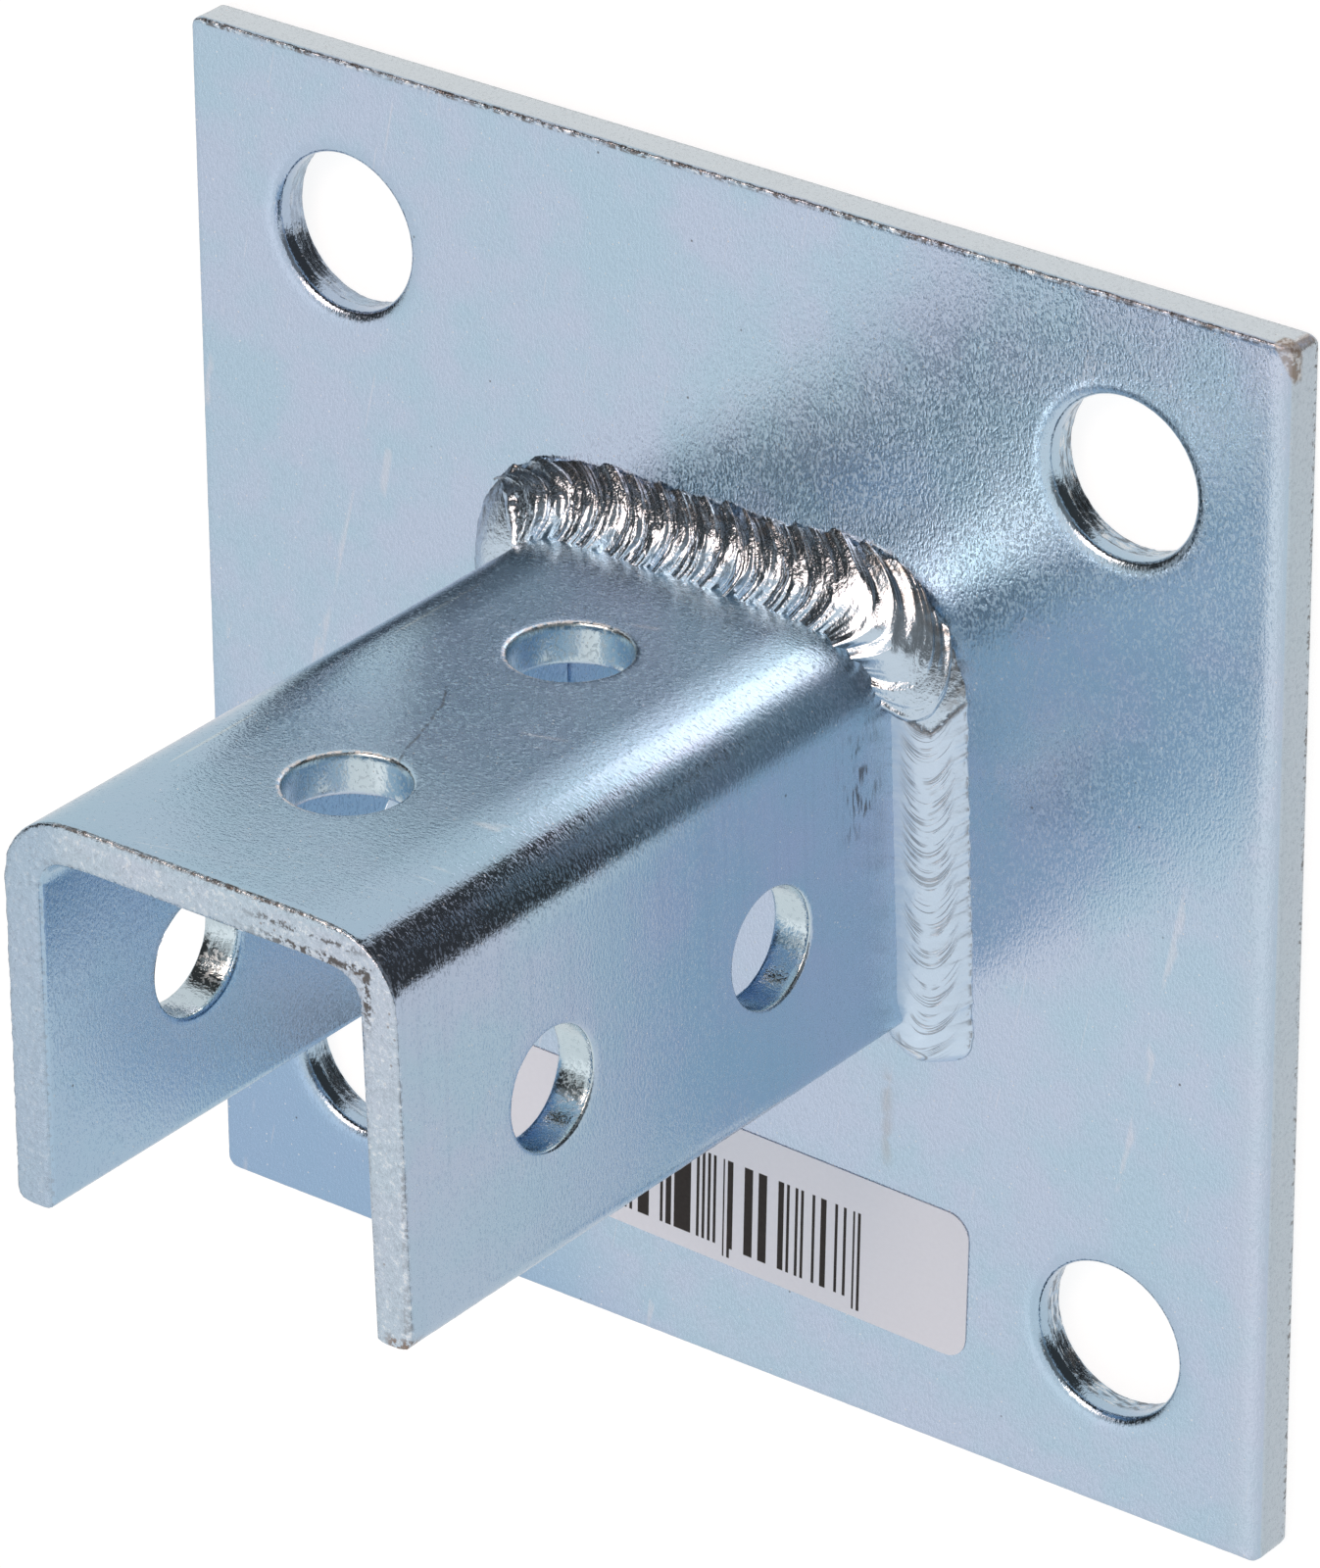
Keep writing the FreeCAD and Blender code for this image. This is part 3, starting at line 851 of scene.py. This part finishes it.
class Zinc(Finish):
    """Bright zinc plating, a mix of smooth and matt grains. Small stretches draw the grain out."""

    def __init__(self, name, stretch):
        super().__init__(name)
        cloud = self.noise(self.place, CLOUD_SIZE, 3.0, 0.6)
        self.grain = self.noise(self.vector("MULTIPLY", self.place, stretch), GRAIN_SIZE, 2.0, 0.6)
        self.crumble = self.noise(self.place, CRUMBLE_SIZE, 3.0, 0.6)
        tint = self.mix(cloud.rise(0.36, 0.64), TEAL_ZINC, LAVENDER_ZINC)
        self.tint = self.mix(self.grain.rise(0.25, 0.75), self.scaled(tint, 0.94), self.scaled(tint, 1.06))
        self.height = self.grain

    def dab(self, share, tint):
        """Another colour where the share is above 0."""
        self.tint = self.mix(share, self.tint, tint)

    def near(self, middle, reach):
        """1 at a place on the plate, falling softly to 0 at the border of an oval."""
        across, up = (self.x - middle[0]) / reach[0], (self.y - middle[1]) / reach[1]
        return (across * across + up * up).rise(1.0, 0.0)

    def spots(self, spacing, radius, share):
        """1 in small round spots, which a share of the cells of a spacing hold."""
        distance = self.cells(self.place, spacing)
        pick = self.parts(self.other(distance, "Color"))[0]
        reach = radius / spacing
        return distance.rise(reach, reach * 0.5) * pick.math("LESS_THAN", pick, share)

    def scratches(self, along, across, spacing, width):
        """1 on fine straight lines, broken up along their way."""
        line = self.noise(self.join(across, along / 60, 0.0), spacing, 1.0)
        gaps = self.noise(self.join(across / 4, along / 8, 3.0), 1.0)
        return abs(line - 0.5).rise(width, 0.0) * gaps.rise(0.55, 0.65)

    def glints_and_flecks(self):
        """Painted glints as bright pinpricks, and a few dark flecks."""
        self.painted_glints = self.spots(1.1, 0.14, 0.5)
        # Painted glints: pale, partly dull pinpricks that stand in for sparkle.
        self.dab(0.65 * self.painted_glints, PALE_SPECK_AND_HIGHLIGHT)
        self.dab(0.75 * self.spots(6.0, 0.22, 0.7), DARK_SPECK)

    def burr(self, line):
        """A torn edge: dark crumbs and bright beads along a line."""
        patchy = self.noise(self.place, 5.0, 2.0).rise(0.38, 0.55)
        self.torn = line
        self.dab(line * self.crumble.rise(0.47, 0.55) * (0.3 + 0.5 * patchy), BURR_CRUMB)
        self.dab(line * self.crumble.rise(0.42, 0.36) * 0.7, PALE_SPECK_AND_HIGHLIGHT)

    def zinc(self, rough, bump, dull):
        """The finished material. dull is the share that isn't bare metal."""
        normal = self.bump(self.height, bump)
        values = {"Base Color": self.tint, "Metallic": 1 - dull, "Roughness": rough, "Normal": normal}
        return self.surface(values)


# Colours on the plate
PAINTED_REFLECTION_TEAL = colour(0.60, 0.76, 0.86)
CORNER_BLUE = colour(0.31, 0.46, 0.66)
SCRATCH = colour(0.8, 0.75, 0.78)
STAIN = colour(0.40, 0.36, 0.32)
HOLE_BLUE = colour(0.44, 0.60, 0.76)
SHEARED_ZINC = colour(0.56, 0.625, 0.67)
SHEARED_DARK = colour(0.42, 0.48, 0.54)
BACK_SIDE = colour(0.78, 0.83, 0.86)
CHIP_DARK = colour(0.25, 0.195, 0.145)
CHIP_PALE = colour(0.66, 0.66, 0.64)
CORNER_GREY = colour(0.47, 0.45, 0.42)
RIGHT_GREY = colour(0.56, 0.61, 0.70)
# Middle of the stain below the weld, and heights of the bump in the grain
STAIN_PLACE = (23.5, -35.5)
PLATE_BUMP = 0.048
CHANNEL_BUMP = 0.046


def plate_zinc():
    paint = Zinc("zinc_plate", (1.0, 0.55, 1.0))
    x, y, z, crumble = paint.x, paint.y, paint.z, paint.crumble
    dab = paint.dab
    half = plate_high.x
    from_right, from_back, below = half - x, half - y, PLATE_TOP - z
    # Painted reflection: pale patches where the plate mirrors the channel's bright bend, round the hole at
    # +x +y and on the +y side of the web.
    dab(0.45 * paint.near((54, 54), (26, 24)), PAINTED_REFLECTION_TEAL)
    dab(0.35 * paint.near((26, 47), (34, 16)), PAINTED_REFLECTION_TEAL)
    # Darker and bluer towards the front-left corner of the top face.
    dab(0.85 * (x + y).rise(-75, -120) * below.rise(0.3, 0.0), CORNER_BLUE)
    paint.glints_and_flecks()
    dab(0.3 * paint.scratches(x * 0.2 + y, x - y * 0.2, 9.0, 0.004), SCRATCH)
    stain = x.bell(STAIN_PLACE[0], 1.3) * y.band(STAIN_PLACE[1], 6.0, 1.5)
    dab(0.35 * stain * paint.noise(paint.place, 2.5).rise(0.35, 0.6), STAIN)
    from_hole = far(abs(x) - ANCHOR_X, abs(y) - ANCHOR_Y) - ANCHOR_HOLE / 2
    wall = from_hole.rise(0.55, 0.4) * below.rise(0.15, 0.4)
    torn = wall * (below - crumble).rise(1.7, 2.0)
    rim = from_hole.rise(0.5, 0.3) * below.rise(0.4, 0.2) * x.rise(60, 50)
    dab(0.25 * from_hole.rise(4.0, 0.0), HOLE_BLUE)
    streaks = paint.noise(paint.vector("MULTIPLY", paint.place, (0.25, 0.25, 1.0)), 0.5, 2.0)
    harsh = 0.35 + 0.65 * x.rise(-10, 10)
    dab(0.6 * harsh * torn * streaks.rise(0.5, 0.58), DARK_SPECK)
    dab(0.8 * harsh * torn * streaks.rise(0.46, 0.38), PALE_SPECK_AND_HIGHLIGHT)
    side = (half - abs(x).largest(abs(y))).rise(0.35, 0.15) * below.rise(0.25, 0.6)
    dab(0.8 * side, SHEARED_ZINC)
    dab(0.35 * side * crumble.rise(0.5, 0.62), SHEARED_DARK)
    dab(0.75 * side * from_back.rise(0.5, 0.2), BACK_SIDE)
    dab(0.8 * side * z.rise(1.0, 0.5) * crumble.rise(0.54, 0.6), DARK_SPECK)
    dab(0.7 * rim * crumble.rise(0.5, 0.56), PALE_SPECK_AND_HIGHLIGHT)
    paint.burr(from_back.rise(0.85, 0.6) * below.rise(0.35, 0.1))
    chip = (from_right / 2.4 + from_back / 4.6).rise(1.05, 0.85) * below.rise(2.4, 1.6)
    dab(0.85 * chip * crumble.rise(0.42, 0.54), CHIP_DARK)
    dab(0.85 * chip * crumble.rise(0.46, 0.4), CHIP_PALE)
    corner = (from_right + from_back).rise(1.4, 0.9)
    dab(0.6 * corner * crumble.rise(0.6, 0.4), CORNER_GREY)
    dab(0.35 * from_right.rise(7.0, 2.0) * below.rise(0.6, 0.3), RIGHT_GREY)
    matt = paint.grain.rise(0.51, 0.61)
    rough = (0.085 + 0.33 * matt) * (1 - 0.6 * wall) + 0.2 * torn + 0.3 * chip
    paint.height = paint.height + 2.9 * torn * streaks
    dull = (0.7 * chip.largest(corner)).largest(0.6 * paint.painted_glints).largest(0.2 * paint.torn)
    return paint.zinc(rough, PLATE_BUMP, dull)


# Colours on the channel
WEB_TEAL = colour(0.415, 0.60, 0.725)
INSIDE_BLUE = colour(0.40, 0.585, 0.745)
DRAWN_GREY = colour(0.40, 0.50, 0.64)
END_GREY = colour(0.60, 0.66, 0.72)
END_DARK = colour(0.36, 0.42, 0.48)
END_PIT = colour(0.22, 0.16, 0.12)
INNER_EDGE = colour(0.24, 0.19, 0.15)
HOLE_WALL = colour(0.64, 0.745, 0.78)
LEFT_END_BLUE = colour(0.36, 0.49, 0.63)
RUST = colour(0.23, 0.14, 0.085)
# The smudge on the right flange, by y and z, and the crack in the web, by its upper end, lean and middle
SMUDGE_PLACE = (13.5, 16.0)
CRACK_END = (2.1, 65.2)
CRACK_LEAN = 0.436
CRACK_MIDDLE = 56.2


def channel_zinc():
    paint = Zinc("zinc_channel", (0.5, 0.5, 1.0))
    x, y, z, crumble = paint.x, paint.y, paint.z, paint.crumble
    dab = paint.dab
    inside, below = WEB_Y - y, CHANNEL_TOP - z
    dab(0.65 * inside.rise(1.8, 0.6), WEB_TEAL)
    dab(0.6 * x.band(-22.0, 0.7, 0.3) * y.rise(23, 19), INSIDE_BLUE)
    paint.glints_and_flecks()
    scratches = paint.scratches(x - 0.3 * z, z + 0.3 * x, 6.0, 0.004)
    dab(0.5 * scratches * inside.rise(1.0, 0.4) * below.rise(1.0, 2.0), PALE_SPECK_AND_HIGHLIGHT)
    on_right = x.rise(24, 26)
    drawn = paint.noise(paint.join(z, y / 40, x / 40), 0.8, 2.0)
    dab(0.22 * on_right * drawn.rise(0.5, 0.7), DRAWN_GREY)
    dab(0.5 * on_right * y.rise(2, -14), TEAL_ZINC)
    fibres = paint.noise(paint.join(z, y / 6, 5.0), 0.45, 2.0)
    smudge = on_right * y.band(SMUDGE_PLACE[0], 6.0, 2.5) * z.band(SMUDGE_PLACE[1], 3.2, 2.0)
    smudge = smudge * paint.noise(paint.place, 3.0).rise(0.42, 0.6)
    dab(0.75 * smudge * fibres.rise(0.48, 0.62), DARK_SPECK)
    depth = inside.smallest(-LEFT_X + 0.5 - abs(x))
    on_flange = abs(x).rise(18, 20)
    from_bolt = far(abs(z - BOLT_MIDDLE) - BOLT_REACH, x + (y - x) * on_flange) - BOLT_HOLE / 2
    end, face = below.rise(0.45, 0.3), below.rise(0.2, 0.1)
    dab(0.5 * face, END_GREY)
    dab(0.4 * face * crumble.rise(0.5, 0.68), END_DARK)
    dab(0.6 * face * crumble.rise(0.45, 0.3), PALE_SPECK_AND_HIGHLIGHT)
    dab(0.55 * face * paint.spots(2.0, 0.22, 0.5), END_PIT)
    paint.burr(end * depth.rise(0.6, 0.4) * (1 - 0.6 * y.rise(20, 16)))
    jagged = depth + 2.2 * (paint.noise(paint.place, 1.8, 3.0, 0.7) - 0.5)
    inner_tear = end * jagged.band(4.5, 0.55, 0.2) * x.rise(4, 14) * y.rise(16, 20)
    dab(0.9 * inner_tear * crumble.rise(0.45, 0.51), DARK_SPECK)
    middle_tear = end * jagged.band(2.3, 0.3, 0.2) * x.band(15, 7, 3)
    dab(0.8 * middle_tear * crumble.rise(0.48, 0.54), DARK_SPECK)
    inner_edge = end * depth.rise(SHEET - 0.7, SHEET - 0.3) * crumble.rise(0.52, 0.6)
    dab(0.25 * inner_edge, INNER_EDGE)
    bolt_wall = from_bolt.rise(0.2, 0.05)
    bolt_rim = from_bolt.rise(0.75, 0.3) * (1 - bolt_wall) * (1 - on_flange) * inside.rise(1.0, 0.5)
    dab(0.8 * bolt_wall, HOLE_WALL)
    torn_rim = bolt_rim * x.rise(5, -3) * crumble.rise(0.6, 0.46)
    dab(torn_rim, PALE_SPECK_AND_HIGHLIGHT)
    bend = 3.0 * (paint.noise(paint.join(z, 0.0, 1.0), 6.0, 2.0) - 0.5)
    crack_x = CRACK_END[0] - CRACK_LEAN * (CRACK_END[1] - z) + bend
    crack = abs(x - crack_x).rise(0.28, 0.05) * z.band(CRACK_MIDDLE, 8.6, 1.0) * inside.rise(0.6, 0.2)
    dab(0.6 * crack * crumble.rise(0.36, 0.52), DARK_SPECK)
    tip = on_right * (y - FLANGE_TIP_Y).rise(2.0, 0.8) * below.rise(2.5, 1.0)
    dab(0.8 * tip * crumble.rise(0.47, 0.53), RUST)
    dab(0.55 * face * x.rise(-17, -22), LEFT_END_BLUE)
    on_web = y.rise(26, 28)
    near_weld = z.rise(18, 12.5) * (0.3 + 0.6 * paint.grain.rise(0.42, 0.58))
    matt = (paint.grain - 0.025 * on_web).rise(0.53, 0.61).largest(near_weld)
    rough = 0.08 - 0.02 * on_web + 0.32 * matt + 0.08 * face + 0.1 * bolt_wall * (1 - on_flange)
    paint.height = paint.height + 3.7 * face * crumble
    dull = (0.75 * torn_rim).largest(0.6 * paint.painted_glints).largest(0.3 * paint.torn)
    return paint.zinc(rough, CHANNEL_BUMP, dull)


# On the right bead: the low point of the V where the beads join, and the droplet near its end,
# by the way along the bead and the share of its face. On the web's bead: the middle of the smooth corner.
VEE = (31.7, 17.8)
RIGHT_LENGTH = RIGHT_HALF.end + PAST_TIP - RIGHT_JOINT + RIGHT_OVERLAP
DROPLET = (RIGHT_LENGTH - 1.7, 0.64)
SMOOTH_CORNER = (25.5, 29.5)
BRIGHT_WELD = colour(0.60, 0.71, 0.82)
SATIN_WELD = colour(0.67, 0.81, 0.96)
BURNT_WELD = colour(0.20, 0.165, 0.13)
DARK_WELD = colour(0.12, 0.10, 0.09)
WELD_BUMP = 0.03


def weld_metal():
    paint = Finish("weld_metal")
    x, y = paint.x, paint.y
    across = paint.node("ShaderNodeAttribute", {"attribute_name": "across"}, None, "Fac")
    along = paint.node("ShaderNodeAttribute", {"attribute_name": "along"}, None, "Fac")
    grain = paint.noise(paint.place, 0.25, 2.0, 0.6)
    crust = paint.noise(paint.place, 0.6, 3.0, 0.6)
    vee_y = VEE[1] + 0.6 * (VEE[0] - x).largest(0.0) + 1.3 * (x - VEE[0]).largest(0.0)
    under_vee = vee_y + 1.2 * (crust - 0.5) - y
    vee = under_vee.bell(0.0, 0.85) * x.band(30.6, 3.8, 0.4) * crust.rise(0.3, 0.5)
    satin = under_vee.rise(-0.5, 0.5) * x.rise(25, 27)
    blob = far(x - SMOOTH_CORNER[0], y - SMOOTH_CORNER[1]).rise(7.0, 4.0)
    burnt = across.rise(0.45, 0.05) * paint.noise(paint.place, 1.6, 3.0).rise(0.42, 0.62) * (1 - satin)
    toes = across.bell(0.0, 0.09).largest(across.bell(1.0, 0.05))
    toes = toes * paint.noise(paint.place, 0.7, 2.0).rise(0.48, 0.6)
    bow = along + 6.0 * (2 * across - 1) ** 2.0
    rows = paint.noise(paint.join(bow, across * 0.5, 2.0), 0.8, 2.0, 0.6)
    gaps = paint.noise(paint.join(bow / 3, across * 3, 8.0), 1.0).rise(0.38, 0.54)
    arcs = abs(rows - 0.5).rise(0.04, 0.008) * across.band(0.5, 0.28, 0.1) * gaps * satin
    elsewhere = x.rise(10, 0).largest(y.rise(-14, -8))
    lip = far((along - DROPLET[0]) / 1.1, (across - DROPLET[1]) / 0.25) + 3.0 * elsewhere
    tint = paint.mix(satin, BRIGHT_WELD, SATIN_WELD)
    tint = paint.mix(0.55 * burnt, tint, BURNT_WELD)
    tint = paint.mix((0.8 * toes).largest(0.42 * arcs), tint, DARK_WELD)
    tint = paint.mix(0.8 * vee, tint, DARK_SPECK)
    # Painted highlight: a pale ring on the droplet's rim; below it, a dark line round its foot.
    tint = paint.mix(0.7 * lip.bell(0.78, 0.22), tint, PALE_SPECK_AND_HIGHLIGHT)
    tint = paint.mix(0.6 * lip.bell(1.08, 0.12), tint, DARK_SPECK)
    rough = 0.13 + 0.17 * satin + 0.12 * burnt
    height = grain - 2.0 * arcs - 4.0 * vee + 8.0 * lip.rise(1.1, 0.7)
    height = height + 5.0 * crust * (1 - satin) * (1 - 0.8 * blob)
    normal = paint.bump(height, WELD_BUMP)
    metal = 1 - 0.3 * satin
    return paint.surface({"Base Color": tint, "Metallic": metal, "Roughness": rough, "Normal": normal})


# The sticker carries a plain row of bars, measured from its middle. Noise picks the modules that are dark.
LABEL_TURN = math.radians(-1.5)
BAR_MODULE = 0.41
BAR_SEED = 23.0
BAR_FROM = 0.49
BARS = (-19.0, 19.8)
BAR_TOP = 4.7
BAR_FOOT = -7.3
TALL_BAR_FOOT = -8.6
TALL_BARS = (-18.4, 0.4, 19.2)
SOFT_SIDE = 0.05
SOFT_END = 0.08
PAPER = (colour(0.68, 0.735, 0.83), colour(0.73, 0.785, 0.88))
INK = (colour(0.012, 0.01, 0.01), colour(0.03, 0.026, 0.026))


def label_paper():
    paint = Finish("label_paper")
    low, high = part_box("paper_label")
    middle = (low + high) / (2 * MM)
    x, y = paint.x - middle.x, paint.y - middle.y
    u = x * math.cos(LABEL_TURN) + y * math.sin(LABEL_TURN)
    v = y * math.cos(LABEL_TURN) - x * math.sin(LABEL_TURN)
    module = u.math("FLOOR", u / BAR_MODULE)
    printed = paint.node("ShaderNodeTexWhiteNoise", {"noise_dimensions": "1D"}, {"W": module + BAR_SEED})
    printed = printed.math("GREATER_THAN", printed, BAR_FROM)
    odd = abs(module.math("MODULO", module, 2.0))
    tall = 0.0
    for place in TALL_BARS:
        near = abs(u - place)
        tall = near.math("LESS_THAN", near, 1.5 * BAR_MODULE) * odd + tall
    foot = BAR_FOOT + (TALL_BAR_FOOT - BAR_FOOT) * tall
    row = u.over(BARS[0], BARS[0] + SOFT_SIDE) * u.over(BARS[1], BARS[1] - SOFT_SIDE)
    row = row * v.over(BAR_TOP, BAR_TOP - SOFT_END) * (v - foot).over(0.0, SOFT_END)
    fibre = paint.noise(paint.place, 0.6, 3.0)
    tint = paint.mix(printed.largest(tall) * row, paint.mix(fibre, *PAPER), paint.mix(fibre, *INK))
    return paint.surface({"Base Color": tint, "Roughness": 0.5, "Specular IOR Level": 0.2,
                          "Normal": paint.bump(fibre, 0.01)})


bpy.context.scene.view_settings.view_transform = "Standard"
camera()
world()
floor()
base_plate(plate_zinc())
post_channel(channel_zinc())
weld_beads(weld_metal())
frame["nodes"]["paper_label"].material_slots[0].material = label_paper()
